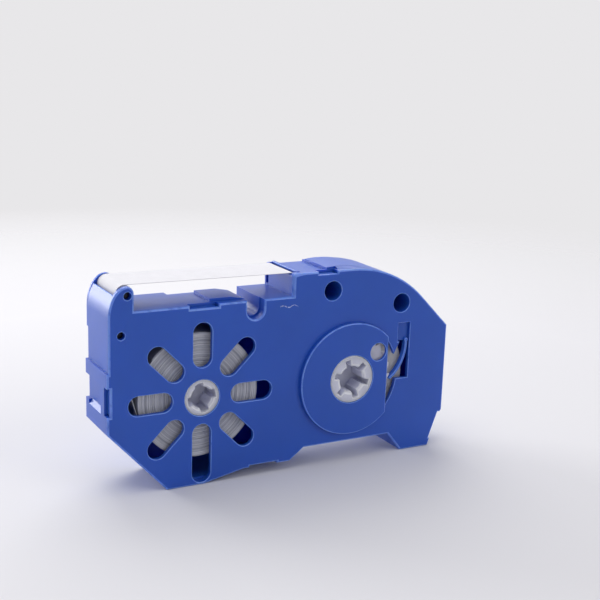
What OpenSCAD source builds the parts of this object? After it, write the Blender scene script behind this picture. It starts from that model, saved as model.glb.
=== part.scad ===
// Tape cassette for cleaning optical connectors: a snap-together case with a supply reel and a
// take-up reel. A cleaning tape runs from the supply reel over the horn at the top left, across
// the open cleaning gap, through a slit into the block and on to the take-up reel.
// Outlines are drawn as seen from the front, x to the right and z up, from the supply axis.

/* [Case] */
// Width of the cleaning tape, which sets the depth of the case
tape_w = 12.7; // [11.5:0.1:16]
// Thickness of the front wall
front_wall = 1.2; // [1:0.05:1.4]
// Thickness of the rear wall
rear_wall = 1.1; // [0.9:0.05:1.3]
// Thickness of the side walls
side_wall = 1.2; // [0.9:0.05:1.4]
// Depth of the front cover with its rim
cover_depth = 2.7; // [2.6:0.05:3.2]
// Distance from the supply axis to the take-up axis
axis_gap = 41.9; // [41:0.1:44]
// Reach of the case to the left of the supply axis
left_reach = 24.2; // [24:0.1:26]
// Reach of the case to the right of the take-up axis
right_reach = 30.2; // [29.5:0.1:32]
// Height of the reel axes above the floor
floor_drop = 22.6; // [22.2:0.1:25]
// Height of the low top, the shelf, above the reel axes
shelf_rise = 23.3; // [22.5:0.1:25]
// Height of the block's top above the reel axes
block_rise = 29.1; // [28.6:0.1:31]
// Distance from the supply axis to the block's left face
block_left = 24.3; // [23.5:0.1:25]

/* [Front outline] */
// Depth of the left end's lower corner below the axes
left_corner_drop = 6.4; // [4:0.1:9]
// Distance from the supply axis left to the left foot's end
left_foot_start = 9; // [7:0.1:11]
// Distance from the supply axis right to the left foot's end
left_foot_end = 0.9; // [0:0.1:3]
// Place of the belly's left end
belly_start = 11.6; // [9:0.1:12]
// Place of the belly's right end
belly_end = 24.8; // [23.5:0.1:25.5]
// Depth of the belly below the axes
belly_drop = 20.4; // [19.5:0.1:21.5]
// Place of the bay's left end
bay_start = 28.9; // [27.5:0.1:30]
// Depth of the bay's ceiling below the axes
bay_drop = 17.3; // [16.8:0.1:18]
// Distance from the take-up axis to the bay's right end
bay_reach = 12.8; // [11:0.1:13.5]
// Distance from the take-up axis to the right foot's left end
right_foot_start = 17.1; // [15.5:0.1:18.5]
// Distance from the take-up axis to the right foot's right end
right_foot_end = 26.1; // [24:0.1:26.5]
// Radius of the block's round top
top_arc_r = 30.4; // [29.6:0.1:31.2]
// Radius of the block's left corner
block_corner_r = 1; // [0.7:0.05:1.2]
// Middle of the finger notch in the shelf
notch_x = 14.1; // [13.5:0.1:15]
// Half width of the finger notch
notch_r = 2.35; // [2.25:0.05:2.6]
// Depth of the finger notch below the shelf
notch_depth = 4.9; // [4.4:0.1:5.2]

/* [Horn] */
// Width of the horn
horn_w = 6.3; // [6.2:0.05:6.6]
// Height of the horn's top above the block's
horn_lift = 0.2; // [0:0.05:0.4]
// Radius of the horn's right shoulder
horn_shoulder_r = 1.7; // [1.2:0.1:2]
// Height of the horn's round left side
horn_round_h = 7.5; // [7:0.1:9]
// Distance of the horn pin below the horn's top
horn_pin_drop = 2.2; // [2.1:0.05:2.4]
// Distance of the horn pin from the horn's left side
horn_pin_in = 4.7; // [4.5:0.05:4.9]
// Distance of the guide pin below the shelf
guide_pin_drop = 5.6; // [4.8:0.1:6.2]
// Distance of the guide pin from the horn's left side
guide_pin_in = 3.1; // [3:0.05:3.4]
// Radius of both pins
pin_r = 0.9; // [0.7:0.05:0.95]
// Radius of the horn roller
horn_roller_r = 2.1; // [1.9:0.05:2.2]
// Radius of the guide roller
guide_roller_r = 1.35; // [1.25:0.05:1.4]

/* [Windows and bores] */
// Width of a window slot over the supply tape
slot_w = 5; // [4.4:0.1:5.4]
// Distance from the supply axis to a slot's inner end
slot_in = 7.7; // [7:0.1:8.5]
// Distance from the supply axis to a slot's outer end
slot_out = 19; // [18:0.1:20]
// Distance from the supply axis to the lower slot's inner end
low_slot_in = 6.75; // [6.5:0.05:8]
// Distance from the supply axis to the lower slot's outer end
low_slot_out = 22; // [21:0.1:22]
// Radius of a locating bore
bore_r = 2.52; // [2.3:0.02:2.7]
// Wall of a locating post around its bore
post_wall = 0.9; // [0.7:0.05:1.1]
// Place of the first locating bore
bore_one_x = 35.9; // [35.6:0.1:36.2]
// Height of the first locating bore above the axes
bore_one_rise = 23.85; // [23.6:0.05:24]
// Distance from the take-up axis to the second locating bore
bore_two_reach = 15.05; // [14.5:0.05:15.5]
// Height of the second locating bore above the axes
bore_two_rise = 18.9; // [18.5:0.1:19.3]

/* [Ratchet cup] */
// Outer radius of the raised cup over the ratchet wheel
cup_r = 15; // [14.6:0.1:15.4]
// Height of the cup above the front face
cup_raise = 1.2; // [1:0.05:1.5]
// Thickness of the cup's face
cup_wall = 0.8; // [0.6:0.05:1]
// Thickness of the cup's side
cup_side = 0.6; // [0.5:0.05:0.8]
// Distance of the cup's flat side from its round edge
cup_flat_in = 4.2; // [3.9:0.1:4.5]
// Radius of the sight hole in the cup
sight_r = 2.4; // [1.8:0.1:2.6]
// Angle of the sight hole
sight_angle = 40; // [35:1:45]

/* [Reels] */
// Radius of the supply hub's front journal
supply_journal_r = 4.55; // [4.2:0.05:4.8]
// Radius of the supply hub's drum
supply_drum_r = 6; // [5.6:0.1:6.3]
// Radius of the tape wound on the supply reel
supply_pack_r = 16.05; // [14:0.05:17]
// Radius of the take-up hub's front journal
takeup_journal_r = 6.3; // [6:0.05:6.5]
// Radius of the take-up hub's drum
takeup_drum_r = 8; // [7.5:0.1:8.5]
// Radius of the tape wound on the take-up reel
takeup_pack_r = 14.3; // [12:0.1:14.5]
// Thickness of the cleaning tape
tape_t = 0.25; // [0.15:0.01:0.3]
// Radius of the spindles that carry the hubs
spindle_r = 2.2; // [1.8:0.1:2.4]
// Depth of the drive sockets
socket_depth = 5.8; // [5:0.1:6.5]
// Number of turns shown on a tape pack
pack_turns = 11; // [6:1:11]

/* [Ratchet] */
// Gap between the ratchet wheel's tooth tips and the cup's side
ratchet_room = 2.2; // [2:0.05:2.5]
// Height of a ratchet tooth
tooth_h = 1.1; // [0.8:0.05:1.3]
// Number of ratchet teeth
tooth_count = 24; // [18:1:30]
// Depth of the pawl leaf from front to rear
pawl_depth = 1.45; // [1.2:0.05:1.5]
// Thickness of the pawl leaf
pawl_t = 0.7; // [0.5:0.05:0.8]
// Height of the pawl's root above the axes
pawl_root_rise = 8.6; // [8.2:0.1:9]
// Distance of the pawl's root outside the cup
pawl_root_out = 2.2; // [2:0.05:2.3]
// Radius of the pawl leaf's bend
pawl_bend_r = 11.5; // [10.5:0.1:12.5]

/* [Hidden] */
$fn = 64;

// Cuts run past the faces by this much
overrun = 1;
// Radial clearance of a shaft in its bore
running_gap = 0.06;
// Gap between faces that move past each other
side_gap = 0.3;
// Gap between the tape and what it runs on, and between its wrap on the horn and the end wall
tape_gap = 0.1;
wrap_gap = 0.45;

takeup_x = axis_gap;
right_x = axis_gap + right_reach;
cup_hollow_r = cup_r - cup_side;
cup_flat = cup_r - cup_flat_in;
ratchet_r = cup_hollow_r - ratchet_room;
// Place of the sight hole between the journal and the side of the hollow, as a share of the gap
sight_place = 0.48;
sight_reach = takeup_journal_r + sight_place * (cup_hollow_r - takeup_journal_r);
bore_two_x = takeup_x + bore_two_reach;
post_r = bore_r + post_wall;

// Gap between the pawl leaf and the flange behind it
flange_gap = 0.15;
// Thickness of the take-up flange
flange_t = 0.45;
// Gap between the tape's rear edge and the rear wall
edge_gap = 0.15;
// Setback of the pawl leaf from the front face
pawl_front = 0.1;

// Stack of faces from front to rear, as distances behind the front face
cup_inside = cup_wall - cup_raise;
wheel_front = cup_inside + side_gap;
flange_front = pawl_front + pawl_depth + flange_gap;
flange_back = flange_front + flange_t;
tape_front = flange_back + tape_gap;
tape_back = tape_front + tape_w;
rear_inside = tape_back + edge_gap;
case_depth = rear_inside + rear_wall;

// Corner of the case at the lower right: a heel, a slanted step and a lip
heel_step = 0.7;
heel_lift = 0.3;
heel_drop = belly_drop + heel_lift;
slant_step = 0.3;
slant_head_drop = 13.3;
slant_head_in = 1.2;
lip_in = 0.4;
lip_rise = 0.7;

// Left end: heights of the band, the catch recess and the panel, as distances from the axes
band_rise = 8.6;
catch_rise = 5;
catch_drop = 1.2;
ledge_drop = 2.3;
panel_rise = 16.8;
catch_depth = 0.9;
catch_front = 4.8;
panel_depth = 0.3;
// Step from the band back to the horn, and the end wall's distance below the horn's top
band_step = 0.4;
end_wall_drop = 2;
// The rear cheek stands higher than the front one by this much
cheek_lift = 0.35;

// Top of the block
arc_z = block_rise - top_arc_r;
corner_rise = takeup_x + arc_z + top_arc_r * sqrt(2) - right_x;
rib_r = side_wall / 2;
// The rounded rib that the tape slides over lies lower than the block's top
rib_drop = 0.3;
rib_x = block_left + rib_r;
rib_z = block_rise - rib_drop - rib_r;
// Width of the tape slit at the block's top, its straight height and its slanted run
slit_w = 0.7;
slit_lip = 0.2;
slit_run = 1.5;
ridge_w = 0.8;
ridge_h = 0.15;
// Raised pad on the top, and the sunken floor to the left of it
pad_h = 0.6;
pad_x = 35.2;
pad_shift = 3;
pad_back = 14.3;
pad_to = 75;
pad_from = acos((pad_x - takeup_x + pad_shift) / (top_arc_r + pad_h));
top_sink = 0.5;

// Shelf: the wedge beside the finger notch, and the setback of its rear edge
horn_rise = block_rise + horn_lift;
horn_reach = left_reach - band_step;
horn_right = horn_reach - horn_w;
horn_x = horn_right + horn_shoulder_r;
horn_pin_x = horn_reach - horn_pin_in;
horn_pin_rise = horn_rise - horn_pin_drop;
guide_pin_x = horn_reach - guide_pin_in;
guide_pin_rise = shelf_rise - guide_pin_drop;
notch_step = 0.25;
notch_z = shelf_rise - notch_depth + notch_r;
case_notch_r = notch_r - notch_step;
wedge_x = 2.7;
wedge_h = 0.8;
wedge_end = 0.1;
setback_x = -4;
setback_y = 12.2;
// Opening in the block's left face near the rear wall
relief_w = 1.4;

// Snap windows: place, height, outward angle, half width and depth
snap_front = 2.3;
snap_nose = 0.45;
snap_arm = 0.9;
snap_back = 0.5;
SNAPS = [
    [-left_reach, (catch_rise - ledge_drop) / 2 + 0.2, 180, 3.5, 0.8],
    [0.4, shelf_rise, 90, 3.8, 0.8],
    [34.3, block_rise, 90, 2.7, 0.8],
    [17.3, -belly_drop, 270, 3.9, 0.5]
];

// Pins, rollers and their bosses
boss_wall = 0.8;
boss_back = tape_front - 0.15;
pin_sink = 1.5;
pin_seat = 0.7;
roller_front = boss_back + tape_gap;
roller_back = rear_inside - tape_gap;

// Reels
supply_front = 0.1;
drum_front = front_wall + side_gap;
web = 1.5;
washer_t = 0.4;
washer_gap = 0.05;
press_gap = 0.01;
flange_r = bay_drop - 0.4;
pack_gap = 0.15;
// Drive sockets: their wall at the lobes, and the length, width, number and angle of the lobes
socket_wall = 0.8;
supply_lobe_l = 1;
supply_lobe_w = 2.3;
supply_lobes = 4;
supply_lobe_angle = 14;
supply_core_r = supply_journal_r - socket_wall - supply_lobe_l;
takeup_lobe_l = 1.8;
takeup_lobe_w = 1.5;
takeup_lobes = 6;
takeup_lobe_angle = 45;
takeup_socket_wall = 1.1;
takeup_core_r = takeup_journal_r - takeup_socket_wall - takeup_lobe_l;
// Chamfer of the teeth between the lobes
tooth_chamfer = 0.5;

// Wound tape shown on the supply reel: one unbroken spiral ridge
wind_gap = 0.45;
wind_h = 0.4;
wind_steps = 24;
wind_pitch = (supply_pack_r - supply_drum_r) / pack_turns;

// Pawl and the slot it stands in
pawl_x = takeup_x + cup_r + pawl_root_out;
pawl_root_r = pawl_t / 2 + 0.2;
pawl_tip_gap = 0.15;
// The leaf is straight down to this far below its root; its bend ends where its inner side meets
// the circle just outside the tooth tips
pawl_straight = 1;
pawl_bend_x = pawl_x - pawl_bend_r;
pawl_bend_z = pawl_root_rise - pawl_straight;
pawl_bend_far = norm([pawl_bend_x - takeup_x, pawl_bend_z]);
pawl_inner_r = pawl_bend_r - pawl_t / 2;
pawl_reach_r = ratchet_r + pawl_tip_gap;
pawl_tip_angle = 180 - atan2(pawl_bend_z, pawl_bend_x - takeup_x) - acos(
    (pawl_bend_far * pawl_bend_far + pawl_inner_r * pawl_inner_r - pawl_reach_r * pawl_reach_r)
    / (2 * pawl_bend_far * pawl_inner_r));
pawl_slot_left = cup_r + 0.1;
pawl_slot_right = cup_r + 3.1;
pawl_slot_in = 1.6;
pawl_slot_slant = 4.85;
pawl_slot_drop = 1.9;
pawl_slot_rise = 8.4;
pawl_pocket_rise = 13.4;
pawl_pocket_floor = 0.3;
tooth_lean_share = 0.92;

// Points along an arc of an ellipse, from angle a to angle b, from point number first on
function arc(x, z, rx, rz, a, b, n, first = 0) =
    [for (i = [first:n]) let (t = a + (b - a) * i / n) [x + rx * cos(t), z + rz * sin(t)]];

// Outward normal of the edge from p to q of an outline that runs anticlockwise
function edge_normal(p, q) = let (d = q - p) [d[1], -d[0]] / norm(d);

// The outline moved inwards by d, mitred at its corners
function inset(points, d) = let (n = len(points)) [
    for (i = [0:n - 1])
        let (
            a = edge_normal(points[(i + n - 1) % n], points[i]),
            b = edge_normal(points[i], points[(i + 1) % n])
        )
        points[i] - d * (a + b) / (1 + a * b)
];

// Front view of the case, anticlockwise from the left end's lower corner. The plain outline leaves
// out the corners that are smaller than the wall, so that it can be moved inwards
function case_outline(finger_r, plain = false) = concat(
    [
        [-left_reach, -left_corner_drop],
        [-left_foot_start, -floor_drop],
        [left_foot_end, -floor_drop],
        [belly_start, -belly_drop],
        [belly_end, -belly_drop],
        [bay_start, -bay_drop],
        [takeup_x + bay_reach, -bay_drop],
        [takeup_x + right_foot_start, -floor_drop],
        [takeup_x + right_foot_end, -floor_drop]
    ],
    plain ? [] : [
        [takeup_x + right_foot_end + heel_step, -heel_drop],
        [takeup_x + right_foot_end + slant_step, -belly_drop]
    ],
    [[right_x - slant_head_in, -slant_head_drop]],
    plain ? [] : [[right_x - lip_in, -slant_head_drop]],
    [[right_x, lip_rise - slant_head_drop], [right_x, corner_rise]],
    arc(takeup_x, arc_z, top_arc_r, top_arc_r, 45, 90, 14),
    plain ? [[block_left, block_rise]] : arc(block_left + block_corner_r, block_rise - block_corner_r,
        block_corner_r, block_corner_r, 90, 180, 5),
    [[block_left, shelf_rise], [notch_x + finger_r, shelf_rise]],
    arc(notch_x, notch_z + notch_r - finger_r, finger_r, finger_r, 0, -180, 16),
    [[notch_x - finger_r, shelf_rise], [-horn_right, shelf_rise]],
    arc(-horn_x, horn_rise - horn_shoulder_r, horn_shoulder_r, horn_shoulder_r, 0, 90, 6),
    arc(-horn_x, horn_rise - horn_round_h, horn_w - horn_shoulder_r, horn_round_h, 90, 180, 10, 1),
    [[-horn_reach, band_rise], [-left_reach, band_rise]]
);

// Moves the drawing to the part's frame: the origin is on the floor under the middle of the case
module in_frame() {
    translate([(left_reach - right_x) / 2, (cup_raise - case_depth) / 2, floor_drop]) children();
}

// A plate with the given front view between two depths
module slab(front, back) {
    translate([0, back, 0]) rotate([90, 0, 0]) linear_extrude(back - front) children();
}

// A block given by its ranges in x, depth and z
module block(x, y, z) {
    translate([x[0], y[0], z[0]]) cube([x[1] - x[0], y[1] - y[0], z[1] - z[0]]);
}

// A round bar along the depth
module bar(x, z, r, front, back) {
    translate([x, front, z]) rotate([-90, 0, 0]) cylinder(r = r, h = back - front);
}

// A cone along the depth, from radius a at the front to radius b at the back
module taper(x, z, a, b, front, back) {
    translate([x, front, z]) rotate([-90, 0, 0]) cylinder(r1 = a, r2 = b, h = back - front);
}

// A ring along the depth
module ring(x, z, outer, inner, front, back) {
    difference() {
        bar(x, z, outer, front, back);
        bar(x, z, inner, front - overrun, back + overrun);
    }
}

// Front view of a window slot that points away from the supply axis
module window_slot(angle, near, far) {
    rotate(angle) {
        translate([near + slot_w / 2, -slot_w / 2]) square([far - near - slot_w, slot_w]);
        translate([near + slot_w / 2, 0]) circle(r = slot_w / 2);
        translate([far - slot_w / 2, 0]) circle(r = slot_w / 2);
    }
}

// Places a snap feature with its outward direction along +z
module at_snap(s) {
    translate([s[0], 0, s[1]]) rotate([0, 90 - s[2], 0]) children();
}

// The opening that a snap hook's nose stands in
module snap_window(s) {
    at_snap(s) {
        block([-s[3], s[3]], [-overrun, snap_front], [-s[4], overrun]);
        block([-s[3], s[3]], [front_wall, snap_front], [-side_wall - overrun, overrun]);
    }
}

// A hook arm of the rear case with its nose in the snap window
module snap_hook(s) {
    at_snap(s) {
        block(
            [-s[3] + snap_back, s[3] - snap_back],
            [front_wall + tape_gap, cover_depth + side_wall],
            [-side_wall - tape_gap - snap_arm, -side_wall - tape_gap]
        );
        block(
            [-s[3] + snap_back, s[3] - snap_back],
            [cover_depth, cover_depth + side_wall],
            [-side_wall - tape_gap - snap_arm, -side_wall / 2]
        );
        block(
            [-s[3] + snap_back, s[3] - snap_back],
            [front_wall + tape_gap, snap_front - tape_gap],
            [-side_wall - tape_gap, -side_wall + snap_nose]
        );
    }
}

// The space of the horn, where the end wall belongs to the rear case
module horn_zone(front, back) {
    block([-left_reach - overrun, -horn_right], [front, back], [band_rise, horn_rise + overrun]);
}

// Front view of the slit that the tape goes down through, rounded on the side it slides over
module tape_slit() {
    difference() {
        polygon([
            [block_left - overrun, block_rise + ridge_h + overrun],
            [block_left - overrun, rib_z],
            [block_left + side_wall, rib_z],
            [block_left + side_wall, block_rise - slit_lip - slit_run],
            [block_left + side_wall + slit_w + slit_run, block_rise - slit_lip - slit_run],
            [block_left + side_wall + slit_w, block_rise - slit_lip],
            [block_left + side_wall + slit_w, block_rise + ridge_h + overrun]
        ]);
        translate([rib_x, rib_z]) circle(r = rib_r);
    }
}

// The lip beside the slit
module slit_ridge(front, back) {
    x = block_left + side_wall + slit_w;
    block([x, x + ridge_w], [front, back], [block_rise - overrun / 2, block_rise + ridge_h]);
}

// Front view of the pawl's slot
module pawl_slot() {
    translate([takeup_x, 0]) polygon([
        [pawl_slot_left, pawl_slot_rise],
        [cup_hollow_r - pawl_slot_in, pawl_slot_rise - pawl_slot_slant],
        [cup_hollow_r - pawl_slot_in, -pawl_slot_drop],
        [pawl_slot_right, -pawl_slot_drop],
        [pawl_slot_right, pawl_slot_rise]
    ]);
    translate([pawl_x, pawl_root_rise]) circle(r = pawl_root_r + running_gap);
}

// Front wall with its rim, the raised ratchet cup and all windows
module front_cover() {
    color("#2f4a9c") in_frame() difference() {
        union() {
            slab(0, front_wall) polygon(case_outline(notch_r));
            difference() {
                slab(front_wall, cover_depth) polygon(case_outline(notch_r));
                slab(front_wall - overrun, cover_depth + overrun)
                    polygon(inset(case_outline(notch_r, true), side_wall));
                horn_zone(front_wall, cover_depth + overrun);
            }
            slit_ridge(tape_front - side_gap, cover_depth);
            difference() {
                bar(takeup_x, 0, cup_r, -cup_raise, front_wall / 2);
                block([takeup_x + cup_flat, takeup_x + cup_r + overrun],
                    [-cup_raise - overrun, 0], [-cup_r, cup_r]);
            }
            bar(-horn_pin_x, horn_pin_rise, pin_r + boss_wall, front_wall / 2, boss_back);
            bar(-guide_pin_x, guide_pin_rise, pin_r + boss_wall, front_wall / 2, boss_back);
        }
        bar(0, 0, supply_journal_r + running_gap, -overrun, cover_depth);
        for (angle = [0, 45, 90, 135, 180, 225, 315])
            slab(-overrun, front_wall + overrun) window_slot(angle, slot_in, slot_out);
        slab(-overrun, front_wall + overrun) window_slot(270, low_slot_in, low_slot_out);
        bar(takeup_x, 0, cup_hollow_r, cup_inside, front_wall + overrun);
        bar(takeup_x, 0, takeup_journal_r + running_gap, -cup_raise - overrun, 0);
        bar(takeup_x + sight_reach * cos(sight_angle), sight_reach * sin(sight_angle), sight_r,
            -cup_raise - overrun, 0);
        slab(-overrun, front_wall + overrun) pawl_slot();
        block([takeup_x + cup_hollow_r, takeup_x + pawl_slot_right],
            [-overrun, front_wall - pawl_pocket_floor], [pawl_slot_rise - tape_gap, pawl_pocket_rise]);
        bar(bore_one_x, bore_one_rise, bore_r, -overrun, front_wall + overrun);
        bar(bore_two_x, bore_two_rise, bore_r, -overrun, front_wall + overrun);
        bar(-horn_pin_x, horn_pin_rise, pin_r + running_gap, -overrun, cover_depth);
        bar(-guide_pin_x, guide_pin_rise, pin_r + running_gap, -overrun, cover_depth);
        for (s = SNAPS)
            snap_window(s);
        slab(tape_front - side_gap, cover_depth + overrun) tape_slit();
        // Room for the take-up flange in the rim over the bay
        block([takeup_x - flange_r / 2, takeup_x + flange_r / 2],
            [flange_front - side_gap, cover_depth + overrun], [-bay_drop - overrun, -bay_drop + side_wall + overrun]);
    }
}

// Tub of the case with its end wall, posts, spindles and snap hooks
module rear_case() {
    case_line = case_outline(case_notch_r);
    catch_x = catch_depth - left_reach;
    color("#3554ad") in_frame() difference() {
        union() {
            difference() {
                slab(front_wall, case_depth) polygon(case_line);
                slab(front_wall - overrun, rear_inside) polygon(inset(case_outline(case_notch_r, true), side_wall));
            }
            // Thicker wall behind the catch recess
            block([-left_reach + side_wall / 2, catch_x + side_wall], [catch_front - side_wall, case_depth - rear_wall / 2],
                [-left_corner_drop + side_wall, catch_rise + side_wall]);
            // Raised pad on the block's top
            slab(cover_depth, pad_back) polygon(concat(
                [[pad_x, block_rise - side_wall / 2]],
                arc(takeup_x, arc_z, top_arc_r - side_wall / 2, top_arc_r - side_wall / 2,
                    90, pad_to, 6),
                arc(takeup_x - pad_shift, arc_z, top_arc_r + pad_h, top_arc_r + pad_h,
                    pad_to, pad_from, 10)
            ));
            // Rear cheek of the horn
            slab(rear_inside, case_depth) polygon(concat(
                [[-horn_reach, shelf_rise - side_wall], [-horn_right, shelf_rise - side_wall]],
                [[-horn_right, horn_rise + cheek_lift - horn_shoulder_r]],
                arc(-horn_x, horn_rise + cheek_lift - horn_shoulder_r, horn_shoulder_r, horn_shoulder_r,
                    0, 90, 6, 1),
                arc(-horn_x, horn_rise + cheek_lift - horn_round_h, horn_w - horn_shoulder_r,
                    horn_round_h, 90, 180, 10, 1)
            ));
            slit_ridge(cover_depth, case_depth);
            bar(bore_one_x, bore_one_rise, post_r, front_wall, case_depth - rear_wall / 2);
            bar(bore_two_x, bore_two_rise, post_r, front_wall, case_depth - rear_wall / 2);
            bar(0, 0, spindle_r, supply_front + socket_depth + web + side_gap, case_depth - rear_wall / 2);
            bar(takeup_x, 0, spindle_r, -cup_raise + socket_depth + web + side_gap,
                case_depth - rear_wall / 2);
        }
        // The cover's rim takes the front of every wall but the horn's
        difference() {
            slab(front_wall - overrun, cover_depth) difference() {
                polygon([
                    [-left_reach - overrun, -floor_drop - overrun],
                    [right_x + overrun, -floor_drop - overrun],
                    [right_x + overrun, block_rise + overrun],
                    [-left_reach - overrun, block_rise + overrun]
                ]);
                translate([bore_one_x, bore_one_rise]) circle(r = post_r);
                translate([bore_two_x, bore_two_rise]) circle(r = post_r);
            }
            horn_zone(0, case_depth);
        }
        // Open horn between the end wall and the rear cheek
        block([side_wall - horn_reach, -horn_right], [0, rear_inside],
            [shelf_rise - side_wall, shelf_rise]);
        block([-horn_right - side_wall - overrun, -horn_right], [0, rear_inside],
            [shelf_rise - side_wall, horn_rise + overrun]);
        block([-left_reach - overrun, -horn_right], [0, rear_inside],
            [horn_rise - end_wall_drop, horn_rise + overrun]);
        // Room for the tape round the horn roller
        bar(-horn_pin_x, horn_pin_rise, horn_roller_r + tape_gap + tape_t + wrap_gap, 0, rear_inside);
        // Sunken floor between the slit's lip and the pad
        block([block_left + side_wall + slit_w + ridge_w, pad_x], [cover_depth, case_depth + overrun],
            [block_rise - top_sink, block_rise + overrun]);
        // Panel, catch recess and its sloped ledge on the left end
        block([-left_reach - overrun, panel_depth - horn_reach],
            [cover_depth + panel_depth, case_depth + overrun], [band_rise, panel_rise]);
        block([-left_reach - overrun, catch_x], [catch_front, case_depth + overrun],
            [-catch_drop, catch_rise]);
        slab(catch_front, case_depth - cover_depth) polygon([
            [-left_reach - overrun, -ledge_drop],
            [-left_reach, -ledge_drop],
            [catch_x, -catch_drop],
            [catch_x, 0],
            [-left_reach - overrun, 0]
        ]);
        // Rear edge of the shelf stands back beside the wedge
        block([setback_x, notch_x - case_notch_r + overrun], [setback_y, case_depth + overrun],
            [shelf_rise - side_wall / 2, shelf_rise + overrun]);
        bar(bore_one_x, bore_one_rise, bore_r, 0, rear_inside);
        bar(bore_two_x, bore_two_rise, bore_r, 0, rear_inside);
        bar(-horn_pin_x, horn_pin_rise, pin_r, rear_inside - overrun, rear_inside + pin_seat);
        bar(-guide_pin_x, guide_pin_rise, pin_r, rear_inside - overrun, rear_inside + pin_seat);
        slab(0, rear_inside) tape_slit();
        block([block_left - overrun, block_left + side_wall + tape_gap],
            [rear_inside - relief_w, rear_inside], [shelf_rise + side_wall / 2, rib_z - rib_r]);
    }
    color("#3554ad") in_frame() {
        for (s = SNAPS)
            snap_hook(s);
        // Wedge on the shelf
        slab(cover_depth, setback_y) polygon([
            [wedge_x, shelf_rise - side_wall / 2],
            [notch_x - case_notch_r, shelf_rise - side_wall / 2],
            [notch_x - case_notch_r, shelf_rise + wedge_end],
            [(wedge_x + notch_x) / 2, shelf_rise + wedge_h],
            [wedge_x, shelf_rise + wedge_h]
        ]);
    }
}

// Sprung leaf that lets the ratchet wheel turn one way only
module ratchet_pawl() {
    color("#2f4a9c") in_frame() {
        bar(pawl_x, pawl_root_rise, pawl_root_r, pawl_front, pawl_front + pawl_depth);
        slab(pawl_front, pawl_front + pawl_depth) polygon(concat(
            [[pawl_x + pawl_t / 2, pawl_root_rise]],
            arc(pawl_bend_x, pawl_bend_z, pawl_bend_r + pawl_t / 2, pawl_bend_r + pawl_t / 2,
                0, -pawl_tip_angle, 14),
            arc(pawl_bend_x, pawl_bend_z, pawl_bend_r - pawl_t / 2, pawl_bend_r - pawl_t / 2,
                -pawl_tip_angle, 0, 14),
            [[pawl_x - pawl_t / 2, pawl_root_rise]]
        ));
    }
}

// Star-shaped drive socket with chamfered teeth, cut from a hub. Each slot makes two opposite lobes
module drive_socket(x, front, core, lobe, width, lobes, angle) {
    bar(x, 0, core, front - overrun, front + socket_depth);
    taper(x, 0, core + tooth_chamfer, core, front, front + tooth_chamfer);
    bar(x, 0, core + tooth_chamfer, front - overrun, front);
    intersection() {
        bar(x, 0, lobe, front - overrun, front + socket_depth);
        translate([x, 0, 0]) for (i = [0:lobes / 2 - 1])
            rotate([0, -angle - i * 360 / lobes, 0])
                block([-lobe - overrun, lobe + overrun], [front - overrun, front + socket_depth],
                    [-width / 2, width / 2]);
    }
}

// Hub of the supply reel with its drive socket
module supply_hub() {
    back = rear_inside - washer_t - washer_gap;
    color("#d9d8de") in_frame() difference() {
        union() {
            bar(0, 0, supply_journal_r, supply_front, drum_front + overrun);
            bar(0, 0, supply_drum_r, drum_front, back);
        }
        drive_socket(0, supply_front, supply_core_r, supply_core_r + supply_lobe_l, supply_lobe_w,
            supply_lobes, supply_lobe_angle);
        bar(0, 0, spindle_r + running_gap, supply_front + socket_depth + web, back + overrun);
    }
}

// Points of one side of the wound tape's spiral
function spiral(offset, from, to) = let (step = from < to ? 1 : -1) [
    for (i = [from:step:to])
        let (t = i * 360 / wind_steps, r = supply_drum_r + offset + wind_pitch * i / wind_steps)
        [r * cos(t), r * sin(t)]
];

wind_last = (pack_turns - 1) * wind_steps;
wind_outer = spiral(wind_pitch - wind_gap, 0, wind_last);
wind_inner = spiral(0, 0, wind_last);
wind_least = min([
    for (i = [0:wind_last - wind_steps])
        for (j = [-2:2])
            if (i + wind_steps + j <= wind_last) norm(wind_inner[i + wind_steps + j] - wind_outer[i])
]);
echo("least gap between turns of the wound tape", wind_least);

// Tape wound on the supply reel, its turns shown as one spiral ridge on the front side
module supply_tape_pack() {
    color("#b9b9bd") in_frame() {
        ring(0, 0, supply_pack_r, supply_drum_r + press_gap, tape_front + wind_h, tape_back);
        slab(tape_front, tape_front + 2 * wind_h)
            polygon(concat(wind_outer, spiral(press_gap, wind_last, 0)));
    }
}

// Felt washer that brakes the supply reel a little
module supply_friction_washer() {
    color("#8f8f92") in_frame()
        ring(0, 0, supply_drum_r - side_gap, spindle_r + side_gap, rear_inside - washer_t, rear_inside);
}

// Hub of the take-up reel with its drive socket
module takeup_hub() {
    back = rear_inside - side_gap;
    color("#d9d8de") in_frame() difference() {
        union() {
            bar(takeup_x, 0, takeup_journal_r, -cup_raise, flange_back + overrun);
            bar(takeup_x, 0, takeup_drum_r, flange_back, back);
        }
        drive_socket(takeup_x, -cup_raise, takeup_core_r, takeup_core_r + takeup_lobe_l, takeup_lobe_w,
            takeup_lobes, takeup_lobe_angle);
        bar(takeup_x, 0, spindle_r + running_gap, -cup_raise + socket_depth + web, back + overrun);
    }
}

// Thin flange that keeps the used tape off the front wall
module takeup_flange() {
    color("#cfcfd6") in_frame()
        ring(takeup_x, 0, flange_r, takeup_journal_r + press_gap, flange_front, flange_back);
}

// Toothed wheel that the pawl holds
module ratchet_wheel() {
    pitch = 360 / tooth_count;
    color("#cfcfd6") in_frame() difference() {
        slab(wheel_front, flange_front) translate([takeup_x, 0]) polygon([
            for (i = [0:tooth_count - 1])
                for (side = [0, 1])
                    let (
                        r = ratchet_r - (1 - side) * tooth_h,
                        t = pitch * (i + side * tooth_lean_share)
                    )
                    [r * cos(t), r * sin(t)]
        ]);
        bar(takeup_x, 0, takeup_journal_r + press_gap, wheel_front - overrun, flange_front + overrun);
    }
}

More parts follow.
